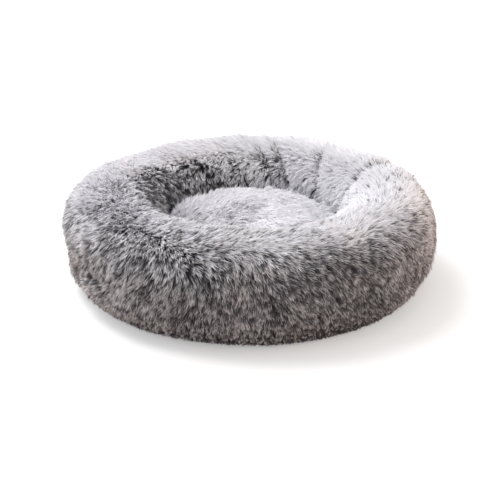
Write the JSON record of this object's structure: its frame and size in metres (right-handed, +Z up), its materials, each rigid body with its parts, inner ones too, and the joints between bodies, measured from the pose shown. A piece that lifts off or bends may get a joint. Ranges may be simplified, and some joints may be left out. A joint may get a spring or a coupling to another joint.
{
  "type": "round cat cushion",
  "caption": "Round plush pet bed: a thick stuffed ring round a raised pad, on a gripping base cloth closed by a zip underneath.",
  "frame": {"origin": "on the floor under the middle of the bed", "axes": "+Z up, -Y towards the front of the picture, +X to its right"},
  "size_m": [0.6, 0.6, 0.1678],
  "materials": {
    "plush": "long soft pile, dark roots and pale tips",
    "liner_cloth": "matte nonwoven",
    "fibre_fill": "matte loose fibre",
    "webbing": "matte woven tape",
    "oxford_cloth": "matte coated weave with rubbery dots",
    "zip_nylon": "satin",
    "zip_metal": "satin",
    "satin_label": "smooth satin, blank"
  },
  "bodies": {
    "bed": {"ring_cover": "plush", "ring_liner": "liner_cloth", "ring_fibre": "fibre_fill", "pad_cover": "plush", "pad_liner": "liner_cloth", "pad_fibre": "fibre_fill", "inner_seam_tape": "webbing", "liner_base": "liner_cloth", "base_cloth": "oxford_cloth", "edge_binding": "webbing", "zip_tape_base_side": "webbing", "zip_tape_plush_side": "webbing", "zip_teeth_base_side": "zip_nylon", "zip_teeth_plush_side": "zip_nylon", "zip_top_stop_base_side": "zip_metal", "zip_top_stop_plush_side": "zip_metal", "zip_bottom_stop": "zip_metal", "care_label": "satin_label"},
    "slider": {"zip_slider": "zip_metal"},
    "pull": {"zip_pull": "zip_metal"}
  },
  "joints": [
    {"name": "slider_travel", "type": "hinge", "parent": "bed", "child": "slider", "pos_m": [0, 0, 0], "axis": [0, 0, 1], "range_deg": [0, 139]},
    {"name": "pull_swing", "type": "hinge", "parent": "slider", "child": "pull", "pos_m": [0.24034, 0.08986, 0.00733], "axis": [-0.8375, -0.3131, -0.4478], "range_deg": [0, 180]}
  ]
}
